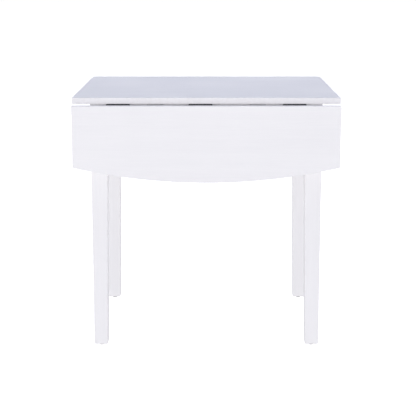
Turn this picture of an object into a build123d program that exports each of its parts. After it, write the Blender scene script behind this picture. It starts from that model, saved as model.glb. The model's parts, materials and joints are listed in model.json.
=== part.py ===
from build123d import *

import math
import os

# A drop-leaf table: a fixed top on four tapered legs, and a bowed leaf along the front and the back.
# Millimetres. +Z is up, -Y is the front, +X is the right. The origin is on the floor, under the middle.

# ---- driving dimensions -------------------------------------------------------------------------

HEIGHT = 750.0
TOP_WIDTH = 762.0
TOP_DEPTH = 610.0
BOARD = 18.0  # thickness of the top and of both leaves

LEAF_DROP = 220.0  # from the hinged edge to the lowest point of the bow
LEAF_BOW = 43.5  # how far the bow falls below the leaf's corners
LEAF_GAP = 1.0  # between the top and a raised leaf

SIDE_OVERHANG = 47.0  # from the end of the top to a leg
END_OVERHANG = 41.0  # from the hinged edge of the top to a leg
LEG_TOP = 50.0
LEG_FOOT = 40.0
LEG_STRAIGHT = 82.0  # the square stretch at the top of a leg
LEG_ROUND = 2.0
FOOT_CHAMFER = 3.0

GLIDE_HEIGHT = 5.0
GLIDE_RADIUS = 8.0
GLIDE_ROUND = 1.0
GLIDE_NAIL_RADIUS = 1.3
GLIDE_NAIL = 16.0

APRON = 20.0
APRON_HEIGHT = 80.0
APRON_SETBACK = 4.0
RAIL = 18.0
RAIL_HEIGHT = 60.0

BLOCK = 20.0
BLOCK_HEIGHT = 60.0
BLOCK_REACH = 360.0  # from the table's middle to a block's outer face, along the diagonal

HANGER_RADIUS = 4.0
HANGER_IN_LEG = 42.0
HANGER_TAIL = 13.0
HANGER_CHAMFER = 1.0
WASHER_RADIUS = 11.0
WASHER = 1.6
NUT_FLATS = 13.0
NUT = 6.5

DOWEL_RADIUS = 4.0
DOWEL = 36.0
DOWEL_CHAMFER = 0.8
DOWEL_HEIGHTS = (676.0, 712.0)
RAIL_DOWEL_HEIGHTS = (688.0, 716.0)

PIN_RADIUS = 1.3
PIN_HEAD_RADIUS = 2.1
PIN_HEAD = 0.9
RUNNING_FIT = 0.05
HINGE_DROP = 3.0  # from the underside of the boards to the hinge axis
HINGE_WIDTH = 66.0
KNUCKLES = 5
KNUCKLE_RADIUS = 2.85
KNUCKLE_GAP = 0.15
PLATE = 1.2
PLATE_NEAR = 3.8  # from the hinge axis to the near edge of a plate
PLATE_FAR = 34.0
PLATE_ROUND = 4.0
HINGE_X = {"left": -250.0, "middle": -16.5, "right": 250.0}
HINGE_SCREWS = ((-22.0, 13.0), (0.0, 25.0), (22.0, 13.0))  # along the axis, and away from it

BAR_X = {"left": -149.0, "right": 149.0}
BAR_WIDTH = 36.0
BAR = 2.5
BAR_BELOW_TOP = 0.5
BAR_NOSE = 6.0
BAR_EDGE = 0.5
BAR_TRAVEL = 165.0
BAR_PROUD = 1.0  # how far a pushed-in bar stands out of the apron
BAR_SIDE_PLAY = 0.3
GUIDE_WALL = 3.7
GUIDE_LIP = 5.3
GUIDE_LIP_THICK = 3.1
GUIDE_FLANGE = 12.0
GUIDE_FLANGE_THICK = 3.0
GUIDE_MOUTH_DEPTH = 12.0
GUIDE_END = 34.0  # how near the guides come to the middle of the table
GUIDE_SCREW_Y = (70.0, 200.0)
RELIEF = 3.0  # the width of the groove beside a guide, towards the middle
RELIEF_DEPTH = 16.0
KNOB_RADIUS = 8.0
KNOB_NECK = 5.0
KNOB_HEIGHT = 22.0
KNOB_STUD = 2.5
KNOB_CROWN = 2.0
KNOB_GRIP = 9.0  # where the thick grip ends, from the knob's lowest point
KNOB_WAIST = 14.0  # where the neck begins
KNOB_FLANGE = 1.5
KNOB_FLARE = 0.5
STOP_GAP = 0.5

BRACKET = 2.0
BRACKET_LEG = 30.0
BRACKET_WIDTH = 20.0
BRACKET_SCREW = 18.0  # from a bracket's corner to its screws
SIDE_BRACKET_Y = 110.0

SMALL_SCREW = {"length": 14.0, "shank": 1.75, "head": 3.5, "cone": 1.5}
LONG_SCREW = {"length": 15.0, "shank": 2.0, "head": 4.0, "cone": 2.0}
RECESS_WIDTH = 0.8
RECESS_DEPTH = 1.1
RECESS_SPAN = 1.1  # the length of a recess arm, as a share of the head's radius

EDGE_ROUND = 1.5
CORNER_ROUND = 2.5
PAST = 1.0  # how far a cutting tool runs past the face that it cuts

# ---- levels and faces worked out from them ------------------------------------------------------

UNDERSIDE = HEIGHT - BOARD
TOP_EDGE = TOP_DEPTH / 2
LEG_X = TOP_WIDTH / 2 - SIDE_OVERHANG
LEG_Y = TOP_EDGE - END_OVERHANG
APRON_X = LEG_X - APRON_SETBACK
APRON_Y = LEG_Y - APRON_SETBACK
INNER_X = APRON_X - APRON
INNER_Y = APRON_Y - APRON
AXIS_Y = TOP_EDGE + LEAF_GAP / 2
AXIS_Z = UNDERSIDE - HINGE_DROP
BAR_TOP = UNDERSIDE - BAR_BELOW_TOP
BAR_BOTTOM = BAR_TOP - BAR
BAR_INNER = RAIL / 2 + STOP_GAP
BAR_OUTER = APRON_Y + BAR_PROUD
KNOB_Y = INNER_Y - KNOB_RADIUS - STOP_GAP - BAR_TRAVEL
GUIDE_INSIDE = BAR_WIDTH / 2 + BAR_SIDE_PLAY
GUIDE_OUTSIDE = GUIDE_INSIDE + GUIDE_WALL
LIP_TOP = BAR_BOTTOM - BAR_SIDE_PLAY


# ---- helpers ------------------------------------------------------------------------------------


def span(x, y, z):
    """A box between pairs of limits."""
    low = (min(x), min(y), min(z))
    sizes = (abs(x[1] - x[0]), abs(y[1] - y[0]), abs(z[1] - z[0]))
    return Pos(*low) * Box(*sizes, align=(Align.MIN, Align.MIN, Align.MIN))


def upright(radius, low, high, x=0.0, y=0.0):
    """A vertical cylinder between two heights."""
    return Pos(x, y, low) * Cylinder(radius, high - low, align=(Align.CENTER, Align.CENTER, Align.MIN))


def to_front(shape):
    """The front twin of a piece drawn at the back."""
    return mirror(shape, about=Plane.XZ)


def to_left(shape):
    """The left twin of a piece drawn on the right."""
    return mirror(shape, about=Plane.YZ)


def cut(shape, tools):
    """The shape with every tool taken out of it."""
    for tool in tools:
        shape = shape - tool
    return shape


def group(shapes):
    """Separate solids that share one node."""
    return Compound(children=[solid for shape in shapes for solid in shape.solids()])


def screw_blank(size):
    """A countersunk wood screw with no drive: its head's face is at z = 0 and its tip points up."""
    shank, head, cone, length = size["shank"], size["head"], size["cone"], size["length"]
    outline = Polyline(
        (0, 0),
        (head, 0),
        (shank, cone),
        (shank, length - 2 * shank),
        (0, length),
        (0, 0),
    )
    return revolve(Plane.XZ * make_face(outline), Axis.Z)


def screw(size):
    """The same screw with a cross recess in its head."""
    arm = size["head"] * RECESS_SPAN
    half = RECESS_WIDTH / 2
    slot = span((-arm / 2, arm / 2), (-half, half), (-PAST, RECESS_DEPTH))
    return screw_blank(size) - slot - Rot(0, 0, 90) * slot


# ---- boards -------------------------------------------------------------------------------------


def table_top(holes):
    board = span((-TOP_WIDTH / 2, TOP_WIDTH / 2), (-TOP_EDGE, TOP_EDGE), (UNDERSIDE, HEIGHT))
    board = fillet(board.edges().filter_by(Axis.Z), CORNER_ROUND)
    faces = board.faces().sort_by(Axis.Z)
    board = fillet(faces[0].edges() + faces[-1].edges(), EDGE_ROUND)
    return cut(board, holes)


def raised_leaf():
    """The back leaf in its raised place: a straight hinged edge and a bow of one arc."""
    near = TOP_EDGE + LEAF_GAP
    half = TOP_WIDTH / 2
    corner = near + LEAF_DROP - LEAF_BOW
    outline = Polyline((-half, corner), (-half, near), (half, near), (half, corner))
    bow = ThreePointArc((half, corner), (0, near + LEAF_DROP), (-half, corner))
    board = extrude(Pos(0, 0, UNDERSIDE) * make_face([outline, bow]), BOARD)
    board = fillet(board.edges().filter_by(Axis.Z), CORNER_ROUND)
    faces = board.faces().sort_by(Axis.Z)
    return fillet(faces[0].edges() + faces[-1].edges(), EDGE_ROUND)


def hang(shape):
    """A piece of the back leaf, turned down about the hinge axis from its raised place."""
    pivot = Pos(0, AXIS_Y, AXIS_Z)
    return pivot * Rot(-90, 0, 0) * pivot.inverse() * shape


# ---- frame --------------------------------------------------------------------------------------


def leg_section(place, z, side=None):
    """A rounded square, centred where a leg of a given thickness has its centre."""
    side = side or place
    return Pos(LEG_X - place / 2, LEG_Y - place / 2, z) * RectangleRounded(side, side, LEG_ROUND)


def leg(holes):
    """The back right leg: its outer faces are upright and its inner faces taper."""
    toe = leg_section(LEG_FOOT, GLIDE_HEIGHT, LEG_FOOT - 2 * FOOT_CHAMFER)
    low = leg_section(LEG_FOOT, GLIDE_HEIGHT + FOOT_CHAMFER)
    high = leg_section(LEG_TOP, UNDERSIDE - LEG_STRAIGHT)
    body = loft([toe, low]) + loft([low, high]) + extrude(high, LEG_STRAIGHT)
    return cut(body, [corner_space(), *holes])


def corner_space():
    """What a corner block takes off a leg's inner corner."""
    side = BLOCK_REACH * math.sqrt(2)
    outline = Polyline((0, 0), (side, 0), (0, side), (0, 0))
    return extrude(Pos(0, 0, UNDERSIDE - APRON_HEIGHT) * make_face(outline), APRON_HEIGHT)


def glide():
    """A glide under the back right leg, with its nail."""
    x = LEG_X - LEG_FOOT / 2
    y = LEG_Y - LEG_FOOT / 2
    pad = upright(GLIDE_RADIUS, 0, GLIDE_HEIGHT, x, y)
    pad = fillet(pad.edges().sort_by(Axis.Z)[0], GLIDE_ROUND)
    return pad + glide_nail()


def glide_nail():
    x = LEG_X - LEG_FOOT / 2
    y = LEG_Y - LEG_FOOT / 2
    return upright(GLIDE_NAIL_RADIUS, GLIDE_HEIGHT, GLIDE_HEIGHT + GLIDE_NAIL, x, y)


def long_apron(holes):
    """The back apron, between the legs, with a notch and a groove for each guide."""
    half = LEG_X - LEG_TOP
    board = span((-half, half), (INNER_Y, APRON_Y), (UNDERSIDE - APRON_HEIGHT, UNDERSIDE))
    low = board.faces().sort_by(Axis.Z)[0].edges().filter_by(Axis.X)
    board = fillet(low, EDGE_ROUND)
    notches = [space for x in BAR_X.values() for space in (notch(x), relief_groove(x))]
    return cut(board, notches + holes)


def notch(x):
    """The way through the back apron that a guide's mouth fills."""
    height = (UNDERSIDE - GUIDE_MOUTH_DEPTH, UNDERSIDE + PAST)
    return span((x - GUIDE_OUTSIDE, x + GUIDE_OUTSIDE), (INNER_Y - PAST, APRON_Y + PAST), height)


def relief_groove(x):
    """A groove in the apron's face, on the side of the notch that is nearer the middle."""
    near = x - math.copysign(GUIDE_OUTSIDE, x)
    far = near - math.copysign(RELIEF, x)
    height = (UNDERSIDE - GUIDE_MOUTH_DEPTH, UNDERSIDE + PAST)
    return span((near, far), (APRON_Y - RELIEF_DEPTH, APRON_Y + PAST), height)


def short_apron(holes):
    """The right apron, between the legs."""
    half = LEG_Y - LEG_TOP
    board = span((INNER_X, APRON_X), (-half, half), (UNDERSIDE - APRON_HEIGHT, UNDERSIDE))
    low = board.faces().sort_by(Axis.Z)[0].edges().filter_by(Axis.Y)
    board = fillet(low, EDGE_ROUND)
    return cut(board, holes)


def centre_rail(holes):
    """The rail across the middle, which the bars stop against."""
    board = span((-INNER_X, INNER_X), (-RAIL / 2, RAIL / 2), (UNDERSIDE - RAIL_HEIGHT, UNDERSIDE))
    return cut(board, holes)


def corner_block(holes):
    """The back right block, across the corner of the two aprons."""
    outer = BLOCK_REACH * math.sqrt(2)
    inner = (BLOCK_REACH - BLOCK) * math.sqrt(2)
    outline = Polyline(
        (inner - INNER_Y, INNER_Y),
        (outer - INNER_Y, INNER_Y),
        (INNER_X, outer - INNER_X),
        (INNER_X, inner - INNER_X),
        (inner - INNER_Y, INNER_Y),
    )
    middle = UNDERSIDE - APRON_HEIGHT / 2
    block = extrude(Pos(0, 0, middle - BLOCK_HEIGHT / 2) * make_face(outline), BLOCK_HEIGHT)
    return cut(block, holes)


def on_diagonal(shape, reach):
    """Places a piece drawn along +Z on the back right leg's diagonal, pointing out of the table."""
    across = (LEG_X - LEG_Y) / 2
    along = reach / math.sqrt(2)
    middle = UNDERSIDE - APRON_HEIGHT / 2
    return Pos(along + across, along - across, middle) * Rot(0, 0, 45) * Rot(0, 90, 0) * shape


def hanger_bolt():
    start = BLOCK_REACH - BLOCK - HANGER_TAIL
    end = BLOCK_REACH + HANGER_IN_LEG
    bolt = upright(HANGER_RADIUS, 0, end - start)
    bolt = chamfer(bolt.edges().filter_by(GeomType.CIRCLE), HANGER_CHAMFER)
    return on_diagonal(bolt, start)


def leg_washer():
    ring = upright(WASHER_RADIUS, 0, WASHER) - upright(HANGER_RADIUS, -PAST, WASHER + PAST)
    return on_diagonal(ring, BLOCK_REACH - BLOCK - WASHER)


def leg_nut():
    hexagon = RegularPolygon(NUT_FLATS / 2, 6, major_radius=False)
    body = extrude(hexagon, NUT) - upright(HANGER_RADIUS, -PAST, NUT + PAST)
    return on_diagonal(body, BLOCK_REACH - BLOCK - WASHER - NUT)


def lying_dowel(axis, x, y, z):
    """A dowel centred at a point, along X or Y."""
    turn = Rot(0, 90, 0) if axis == "x" else Rot(90, 0, 0)
    peg = Cylinder(DOWEL_RADIUS, DOWEL)
    peg = chamfer(peg.edges().filter_by(GeomType.CIRCLE), DOWEL_CHAMFER)
    return Pos(x, y, z) * turn * peg


def corner_dowels():
    """The dowels of the back right corner."""
    pegs = [lying_dowel("x", LEG_X - LEG_TOP, (APRON_Y + INNER_Y) / 2, z) for z in DOWEL_HEIGHTS]
    return pegs + [lying_dowel("y", (APRON_X + INNER_X) / 2, LEG_Y - LEG_TOP, z) for z in DOWEL_HEIGHTS]


def rail_dowels():
    """The dowels at the right end of the centre rail, each sunk a third of its length in the apron."""
    return [lying_dowel("x", INNER_X - DOWEL / 6, 0, z) for z in RAIL_DOWEL_HEIGHTS]


# ---- hinges -------------------------------------------------------------------------------------


def knuckle_span(number):
    pitch = HINGE_WIDTH / KNUCKLES
    start = -HINGE_WIDTH / 2 + number * pitch
    return start + KNUCKLE_GAP, start + pitch - KNUCKLE_GAP


def barrel(radius, limits):
    """A cylinder along the hinge axis."""
    length = limits[1] - limits[0]
    rod = Rot(0, 90, 0) * Cylinder(radius, length, align=(Align.CENTER, Align.CENTER, Align.MIN))
    return Pos(limits[0], 0, 0) * rod


def hinge_half(numbers, bore):
    """One half of a hinge, drawn about its axis, with its plate towards +Y under the board."""
    half = HINGE_WIDTH / 2
    plate = span((-half, half), (PLATE_NEAR, PLATE_FAR), (HINGE_DROP - PLATE, HINGE_DROP))
    corners = plate.edges().filter_by(Axis.Z).sort_by(Axis.Y)[-2:]
    plate = fillet(corners, PLATE_ROUND)
    for number in numbers:
        limits = knuckle_span(number)
        plate += barrel(KNUCKLE_RADIUS, limits)
        plate += span(limits, (0, PLATE_NEAR + PAST), (HINGE_DROP - PLATE, HINGE_DROP))
    plate -= barrel(bore, (-half - PAST, half + PAST))
    return cut(plate, [hinge_screw(x, y, screw_blank) for x, y in HINGE_SCREWS])


def hinge_screw(x, y, make):
    return Pos(x, y, HINGE_DROP - PLATE) * make(SMALL_SCREW)


def hinge_pin():
    half = HINGE_WIDTH / 2
    pin = barrel(PIN_RADIUS, (-half, half))
    for side in ((-half - PIN_HEAD, -half), (half, half + PIN_HEAD)):
        pin += barrel(PIN_HEAD_RADIUS, side)
    return pin


def under_top(shape, x):
    """Places half a hinge under the back edge of the top."""
    return Pos(x, AXIS_Y, AXIS_Z) * Rot(0, 0, 180) * shape


def under_leaf(shape, x):
    """Places half a hinge under the raised back leaf."""
    return Pos(x, AXIS_Y, AXIS_Z) * shape


def top_hinge_screws(make):
    return [under_top(hinge_screw(x, y, make), at) for at in HINGE_X.values() for x, y in HINGE_SCREWS]


def leaf_hinge_screws(make):
    return [under_leaf(hinge_screw(x, y, make), at) for at in HINGE_X.values() for x, y in HINGE_SCREWS]


# ---- leaf supports ------------------------------------------------------------------------------


def support_guide(x):
    """A moulded guide: a mouth in the apron's notch and two lipped runners behind it."""
    walls = (UNDERSIDE - GUIDE_MOUTH_DEPTH, UNDERSIDE)
    mouth_y = (INNER_Y, APRON_Y + BAR_PROUD / 2)
    run_y = (GUIDE_END, INNER_Y)
    lip_low = LIP_TOP - GUIDE_LIP_THICK
    body = span((-GUIDE_OUTSIDE, GUIDE_OUTSIDE), mouth_y, walls)
    way = (INNER_Y - PAST, APRON_Y + BAR_PROUD + PAST)
    body -= span((-GUIDE_INSIDE, GUIDE_INSIDE), way, (LIP_TOP, UNDERSIDE + PAST))
    for side in (-1, 1):
        inside, outside = side * GUIDE_INSIDE, side * GUIDE_OUTSIDE
        body += span((inside, outside), run_y, (lip_low, UNDERSIDE))
        body += span((inside - side * GUIDE_LIP, inside), run_y, (lip_low, LIP_TOP))
        flange = (outside, outside + side * GUIDE_FLANGE)
        body += span(flange, run_y, (UNDERSIDE - GUIDE_FLANGE_THICK, UNDERSIDE))
    return cut(Pos(x, 0, 0) * body, guide_screws_at(x, screw_blank))


def guide_screws_at(x, make):
    offset = GUIDE_OUTSIDE + GUIDE_FLANGE / 2
    low = UNDERSIDE - GUIDE_FLANGE_THICK
    spots = [(x + side * offset, y) for side in (-1, 1) for y in GUIDE_SCREW_Y]
    return [Pos(*spot, low) * make(LONG_SCREW) for spot in spots]


def support_bar(x):
    """A flat steel bar with a rounded nose, drilled for its knob."""
    half = BAR_WIDTH / 2
    bar = span((x - half, x + half), (BAR_INNER, BAR_OUTER), (BAR_BOTTOM, BAR_TOP))
    nose = bar.edges().filter_by(Axis.Z).sort_by(Axis.Y)[-2:]
    bar = fillet(nose, BAR_NOSE)
    bar = fillet(bar.faces().sort_by(Axis.Z)[-1].edges(), BAR_EDGE)
    return bar - upright(KNOB_STUD, BAR_BOTTOM - PAST, BAR_TOP + PAST, x, KNOB_Y)


def support_knob(x):
    """A turned finger knob under the bar, with a stud that fills the bar's hole."""
    low = BAR_BOTTOM - KNOB_HEIGHT
    outline = Polyline(
        (0, 0),
        (KNOB_RADIUS - KNOB_CROWN, 0),
        (KNOB_RADIUS, KNOB_CROWN),
        (KNOB_RADIUS, KNOB_GRIP),
        (KNOB_NECK, KNOB_WAIST),
        (KNOB_NECK, KNOB_HEIGHT - KNOB_FLANGE - KNOB_FLARE),
        (KNOB_RADIUS, KNOB_HEIGHT - KNOB_FLANGE),
        (KNOB_RADIUS, KNOB_HEIGHT),
        (0, KNOB_HEIGHT),
        (0, 0),
    )
    knob = revolve(Plane.XZ * make_face(outline), Axis.Z)
    return Pos(x, KNOB_Y, low) * knob + upright(KNOB_STUD, BAR_BOTTOM, BAR_TOP, x, KNOB_Y)


# ---- brackets -----------------------------------------------------------------------------------


def bracket():
    """An angle bracket: one leg under the top, towards +Y, and one down an apron at y = 0."""
    half = BRACKET_WIDTH / 2
    flat = span((-half, half), (0, BRACKET_LEG), (-BRACKET, 0))
    drop = span((-half, half), (0, BRACKET), (-BRACKET_LEG, 0))
    return cut(flat + drop, bracket_screws(screw_blank))


def bracket_screws(make):
    up = Pos(0, BRACKET_SCREW, -BRACKET) * make(LONG_SCREW)
    out = Pos(0, BRACKET, -BRACKET_SCREW) * Rot(90, 0, 0) * make(LONG_SCREW)
    return [up, out]


def at_brackets(shapes):
    """Every shape at each of the six brackets."""
    places = [
        Pos(0, -INNER_Y, UNDERSIDE),
        Pos(0, INNER_Y, UNDERSIDE) * Rot(0, 0, 180),
    ]
    for y in (-SIDE_BRACKET_Y, SIDE_BRACKET_Y):
        places.append(Pos(-INNER_X, y, UNDERSIDE) * Rot(0, 0, -90))
        places.append(Pos(INNER_X, y, UNDERSIDE) * Rot(0, 0, 90))
    return [place * shape for place in places for shape in shapes]


# ---- the assembly -------------------------------------------------------------------------------


def four_corners(shape):
    """A back right piece and its three twins, by place."""
    front = to_front(shape)
    return {
        "back_right": shape,
        "back_left": to_left(shape),
        "front_right": front,
        "front_left": to_left(front),
    }


def both_ends(shapes):
    """Pieces drawn on the right, and their left twins."""
    return shapes + [to_left(shape) for shape in shapes]


def both_sides(shapes):
    """Pieces drawn at the back, and their front twins."""
    return shapes + [to_front(shape) for shape in shapes]


def frame_nodes():
    bracket_blanks = at_brackets(bracket_screws(screw_blank))
    guide_blanks = [blank for x in BAR_X.values() for blank in guide_screws_at(x, screw_blank)]
    top_holes = both_sides(top_hinge_screws(screw_blank) + guide_blanks) + bracket_blanks
    nodes = {"table_top": table_top(top_holes)}

    corner_holes = corner_dowels()
    for place, shape in four_corners(leg([hanger_bolt(), glide_nail(), *corner_holes])).items():
        nodes["leg_" + place] = shape
    for place, shape in four_corners(glide()).items():
        nodes["glide_" + place] = shape
    for place, shape in four_corners(corner_block([hanger_bolt()])).items():
        nodes["corner_block_" + place] = shape
    nodes["hanger_bolts"] = group(four_corners(hanger_bolt()).values())
    nodes["leg_washers"] = group(four_corners(leg_washer()).values())
    nodes["leg_nuts"] = group(four_corners(leg_nut()).values())

    end_holes = both_ends(corner_holes)
    back = long_apron(end_holes + bracket_blanks)
    nodes["apron_back"] = back
    nodes["apron_front"] = to_front(back)
    right = short_apron(both_sides(corner_holes) + rail_dowels() + bracket_blanks)
    nodes["apron_right"] = right
    nodes["apron_left"] = to_left(right)
    nodes["apron_dowels"] = group(both_sides(end_holes))
    nodes["rail_dowels"] = group(both_ends(rail_dowels()))
    nodes["centre_rail"] = centre_rail(both_ends(rail_dowels()))
    nodes["top_brackets"] = group(at_brackets([bracket()]))
    nodes["bracket_screws"] = group(at_brackets(bracket_screws(screw)))
    return nodes


def hinge_nodes():
    nodes = {}
    plate = hinge_half((0, 2, 4), PIN_RADIUS)
    strap = hinge_half((1, 3), PIN_RADIUS + RUNNING_FIT)
    pins = []
    for name, x in HINGE_X.items():
        fixed = under_top(plate, x)
        moving = hang(under_leaf(strap, x))
        nodes["hinge_plate_back_" + name] = fixed
        nodes["hinge_plate_front_" + name] = to_front(fixed)
        nodes["hinge_strap_back_" + name] = moving
        nodes["hinge_strap_front_" + name] = to_front(moving)
        pins.append(under_top(hinge_pin(), x))
    nodes["hinge_pins_back"] = group(pins)
    nodes["hinge_pins_front"] = group([to_front(pin) for pin in pins])
    nodes["hinge_screws_top"] = group(both_sides(top_hinge_screws(screw)))
    return nodes


def leaf_nodes():
    board = hang(cut(raised_leaf(), leaf_hinge_screws(screw_blank)))
    screws = [hang(one) for one in leaf_hinge_screws(screw)]
    return {
        "leaf_back": board,
        "leaf_front": to_front(board),
        "hinge_screws_leaf_back": group(screws),
        "hinge_screws_leaf_front": group([to_front(one) for one in screws]),
    }


def support_nodes():
    nodes = {}
    screws = []
    for name, x in BAR_X.items():
        pieces = {
            "support_guide_back_": support_guide(x),
            "support_bar_back_": support_bar(x),
            "support_knob_back_": support_knob(x),
        }
        for start, shape in pieces.items():
            nodes[start + name] = shape
            nodes[start.replace("back", "front") + name] = to_front(shape)
        screws += guide_screws_at(x, screw)
    nodes["guide_screws"] = group(both_sides(screws))
    return nodes


os.makedirs("parts", exist_ok=True)
for make_nodes in (frame_nodes, hinge_nodes, leaf_nodes, support_nodes):
    for node, shape in make_nodes().items():
        export_step(shape, "parts/" + node + ".step")
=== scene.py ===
# %% [markdown]
# # A white drop-leaf table
#
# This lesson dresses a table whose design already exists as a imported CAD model. The model is the frame:
# every board, hinge and screw is where it belongs, and each one moves with a named body. We keep the
# pieces whose CAD shape is right and give them a finish. We rebuild the pieces where a maker's hand
# shows in a softer edge, a turned shape or a screw thread.
#
# We begin by loading that frame, and we note how large the object is before we touch it.

# %% Load the frame
import json
import math

import bpy
import numpy as np
from mathutils import Matrix, Vector


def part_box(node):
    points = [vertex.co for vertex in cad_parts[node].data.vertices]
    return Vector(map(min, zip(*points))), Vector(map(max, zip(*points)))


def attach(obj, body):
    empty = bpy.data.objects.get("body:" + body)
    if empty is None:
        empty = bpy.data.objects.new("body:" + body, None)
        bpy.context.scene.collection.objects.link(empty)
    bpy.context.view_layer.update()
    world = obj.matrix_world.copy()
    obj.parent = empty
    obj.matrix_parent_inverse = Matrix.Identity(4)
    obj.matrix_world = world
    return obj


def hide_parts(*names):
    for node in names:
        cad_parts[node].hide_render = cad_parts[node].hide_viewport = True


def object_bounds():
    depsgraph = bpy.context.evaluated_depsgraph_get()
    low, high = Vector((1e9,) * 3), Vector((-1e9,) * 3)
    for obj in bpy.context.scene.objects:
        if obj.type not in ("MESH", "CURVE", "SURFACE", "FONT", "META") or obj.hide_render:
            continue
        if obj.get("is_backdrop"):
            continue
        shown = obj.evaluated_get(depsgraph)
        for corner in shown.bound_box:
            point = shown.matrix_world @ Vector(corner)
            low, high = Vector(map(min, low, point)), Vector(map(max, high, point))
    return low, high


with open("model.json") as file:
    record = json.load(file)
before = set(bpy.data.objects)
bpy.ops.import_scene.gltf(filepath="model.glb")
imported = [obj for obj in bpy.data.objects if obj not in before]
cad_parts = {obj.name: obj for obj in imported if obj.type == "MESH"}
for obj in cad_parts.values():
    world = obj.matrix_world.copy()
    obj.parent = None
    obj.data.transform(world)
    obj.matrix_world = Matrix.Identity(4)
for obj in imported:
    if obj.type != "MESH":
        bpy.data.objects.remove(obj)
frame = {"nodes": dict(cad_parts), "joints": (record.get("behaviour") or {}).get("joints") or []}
cad_low, cad_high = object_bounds()
MM = 0.001
joints = {joint["name"]: joint for joint in frame["joints"]}
print("size in metres", [round(b - a, 4) for a, b in zip(cad_low, cad_high)])

# %% [markdown]
# ## Helpers for surfaces
#
# Nearly every new piece is a stack of closed rings. A board's edge is one outline carried inwards and
# outwards along a small profile, a leg is one square that shrinks on its way down, and a turned knob is
# a circle whose radius changes. So one function turns a stack of rings into a mesh. A numpy array holds
# all the points at once, which keeps the shape's formula on one line and avoids a loop over vertices.
#
# Each piece also carries an attribute called edge. It is 1 on a rounded edge and 0 on an open face, and
# the finishes read it to know where hands and cloths have rubbed.


# %% Rings to faces
def ring_faces(rows, columns, wrap):
    """Quads between neighbouring rings. Point c of ring r has the number r * columns + c, each ring
    closes on itself, and with wrap the last ring also joins the first."""
    r = np.arange(rows if wrap else rows - 1)[:, None]
    c = np.arange(columns)[None, :]
    here, above = r * columns, (r + 1) % rows * columns
    right = (c + 1) % columns
    return np.stack([here + c, here + right, above + right, above + c], axis=-1).reshape(-1, 4)


def fan_faces(start, columns, pole):
    """Triangles from one ring to a single middle point."""
    c = np.arange(columns)
    return np.stack([start + (c + 1) % columns, start + c, np.full(columns, pole)], axis=-1)


def signed_volume(points, triangles):
    """The sum over triangles of a . (b x c) / 6, which is negative if the faces point inwards."""
    a, b, c = (points[triangles[:, k]] for k in range(3))
    return float(np.einsum("ij,ij->i", a, np.cross(b, c)).sum() / 6)


def ring_stack(rings, edge=None, wrap=False):
    """A closed shape from an array of rings by points by 3. Unless it wraps, each end closes on the
    middle of its last ring. It returns points, quads, triangles and the edge value of each point."""
    rings = np.asarray(rings, float)
    rows, columns = rings.shape[:2]
    points = rings.reshape(-1, 3)
    edge = np.zeros(rows) if edge is None else np.asarray(edge, float)
    edge = np.broadcast_to(edge.reshape(rows, -1), (rows, columns)).reshape(-1)
    quads = ring_faces(rows, columns, wrap)
    triangles = np.zeros((0, 3), int)
    if not wrap:
        first, last = len(points), len(points) + 1
        points = np.vstack([points, rings[0].mean(0), rings[-1].mean(0)])
        edge = np.append(edge, [0, 0])
        low = fan_faces(0, columns, first)
        high = fan_faces((rows - 1) * columns, columns, last)[:, ::-1]
        triangles = np.vstack([low, high])
    every = np.vstack([quads[:, [0, 1, 2]], quads[:, [0, 2, 3]], triangles])
    if signed_volume(points - points.mean(0), every) < 0:
        quads, triangles = quads[:, ::-1], triangles[:, ::-1]
    return points, quads, triangles, edge


def make_piece(name, stacks, sharp_degrees=40):
    """One mesh object from several closed stacks. Its place is in its vertices, so the object stays at the
    origin. Faces are smooth, apart from edges that turn by more than sharp_degrees."""
    points, faces, edges, start = [], [], [], 0
    for own_points, quads, triangles, edge in stacks:
        points.append(own_points)
        faces += (quads + start).tolist() + (triangles + start).tolist()
        edges.append(edge)
        start += len(own_points)
    mesh = bpy.data.meshes.new(name)
    mesh.from_pydata(np.vstack(points).tolist(), [], faces)
    attribute = mesh.attributes.new("edge", "FLOAT", "POINT")
    attribute.data.foreach_set("value", np.concatenate(edges).astype(np.float32))
    mesh.polygons.foreach_set("use_smooth", np.ones(len(faces), bool))
    mesh.set_sharp_from_angle(angle=math.radians(sharp_degrees))
    mesh.update()
    piece = bpy.data.objects.new(name, mesh)
    bpy.context.scene.collection.objects.link(piece)
    print(name, len(faces), "faces, size in mm", [round(d / MM, 1) for d in piece.dimensions])
    return piece


def placed(stack, matrix):
    """The stack with a 4 by 4 matrix applied to all its points at once."""
    points, quads, triangles, edge = stack
    m = np.array(matrix, float)
    return points @ m[:3, :3].T + m[:3, 3], quads, triangles, edge


def put(piece, body, slot, *nodes):
    """Hangs a new piece on its CAD body, in place of its CAD nodes."""
    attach(piece, body)
    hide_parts(*nodes)
    return piece


# %% [markdown]
# ## Boards with eased edges
#
# The top and the leaves are 18 mm boards. On the real table their edges are softened with sandpaper and
# then lacquered, so an edge catches a thin line of light. A bevel modifier could cut such an edge, but a
# swept profile gives even quads and tells us exactly which points lie on the curve.
#
# An outline is a list of arcs, and the straight sides are what joins one arc to the next. Every point
# keeps its outward direction, so the same outline can be drawn smaller by stepping back along it.


# %% Outlines made of arcs
ARC = 7  # points along a quarter circle
BOW_POINTS = 96
FACE_RINGS = 8  # rings between the middle of a board's face and its rim
RIM = 1.4  # where a face's rim begins, in radii of the eased edge
SIDE_WEAR = 0.35  # the edge attribute halfway down a board's side


def arc_points(centre, radius, start, end, count=ARC):
    """Points centre + radius (cos, sin) at evenly spaced angles, with (cos, sin) as outward direction."""
    angles = np.linspace(math.radians(start), math.radians(end), count)
    outward = np.column_stack([np.cos(angles), np.sin(angles)])
    return np.asarray(centre) + radius * outward, outward


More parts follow.
